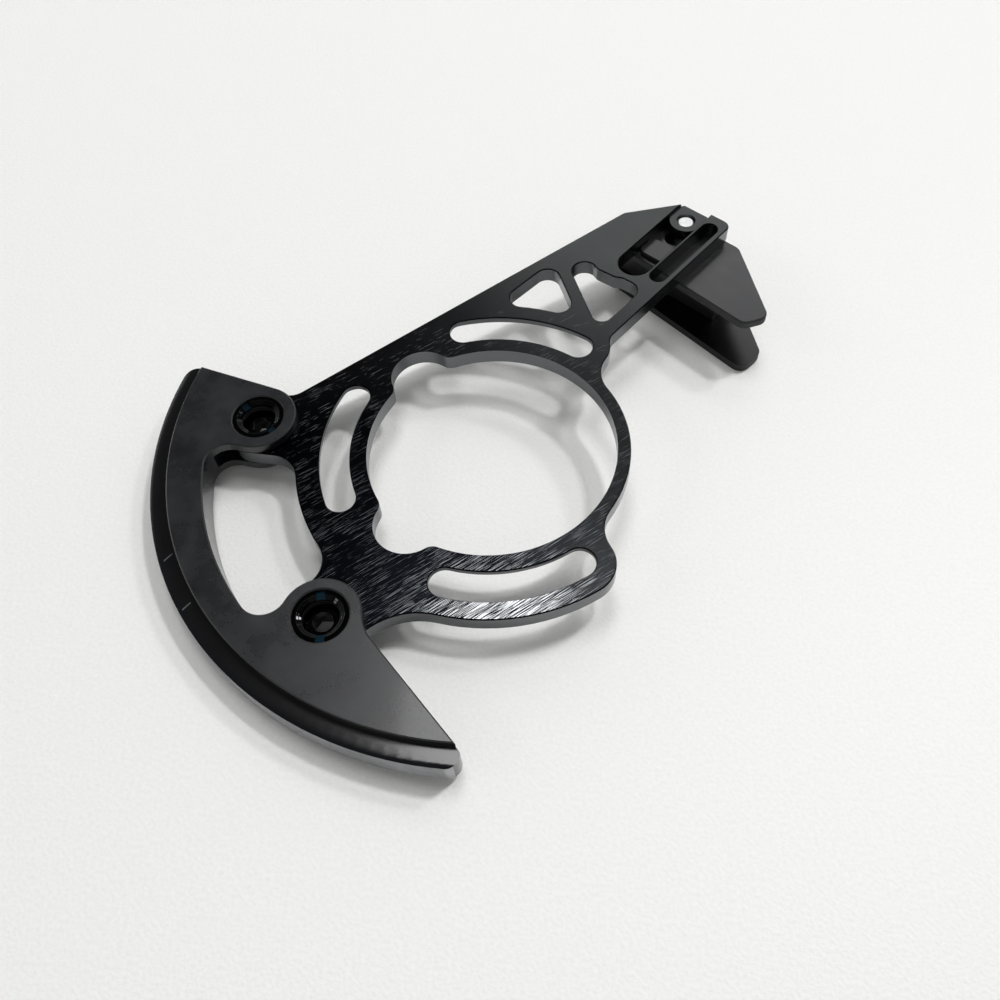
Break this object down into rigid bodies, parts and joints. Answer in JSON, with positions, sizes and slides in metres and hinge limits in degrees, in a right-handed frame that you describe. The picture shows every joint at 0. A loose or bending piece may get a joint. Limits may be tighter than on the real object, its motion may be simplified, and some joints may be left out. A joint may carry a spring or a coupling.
{
  "type": "bicycle chain guide",
  "caption": "Bicycle chain guide with a slotted backplate around the bottom bracket, a curved bash guard below and a sliding channel above that keeps the chain on the ring.",
  "frame": {"origin": "bottom bracket axis on the inner face of the backplate, the face that meets the bicycle frame", "axes": "+Z along the bottom bracket axis towards the bicycle frame; the arm with the top guide points between +X and +Y, 50 degrees from +X; the bash guard lies at -X and -Y"},
  "size_m": [0.1476, 0.1604, 0.0221],
  "materials": {
    "plate": "black anodised, brushed",
    "guard": "satin",
    "guard_fasteners": "black anodised, glossy",
    "guide": "satin",
    "steel": "bright"
  },
  "bodies": {
    "plate": {"backplate": "plate", "bash_guard": "guard", "bash_sleeve_nuts": "guard_fasteners", "bash_bolts": "guard_fasteners", "guide_screw": "steel", "guide_washer": "steel"},
    "slider": {"top_guide": "guide"}
  },
  "joints": [
    {"name": "guide_height", "type": "slide", "parent": "plate", "child": "slider", "axis": [0.6428, 0.766, 0], "range_m": [-0.001, 0.0045]}
  ]
}
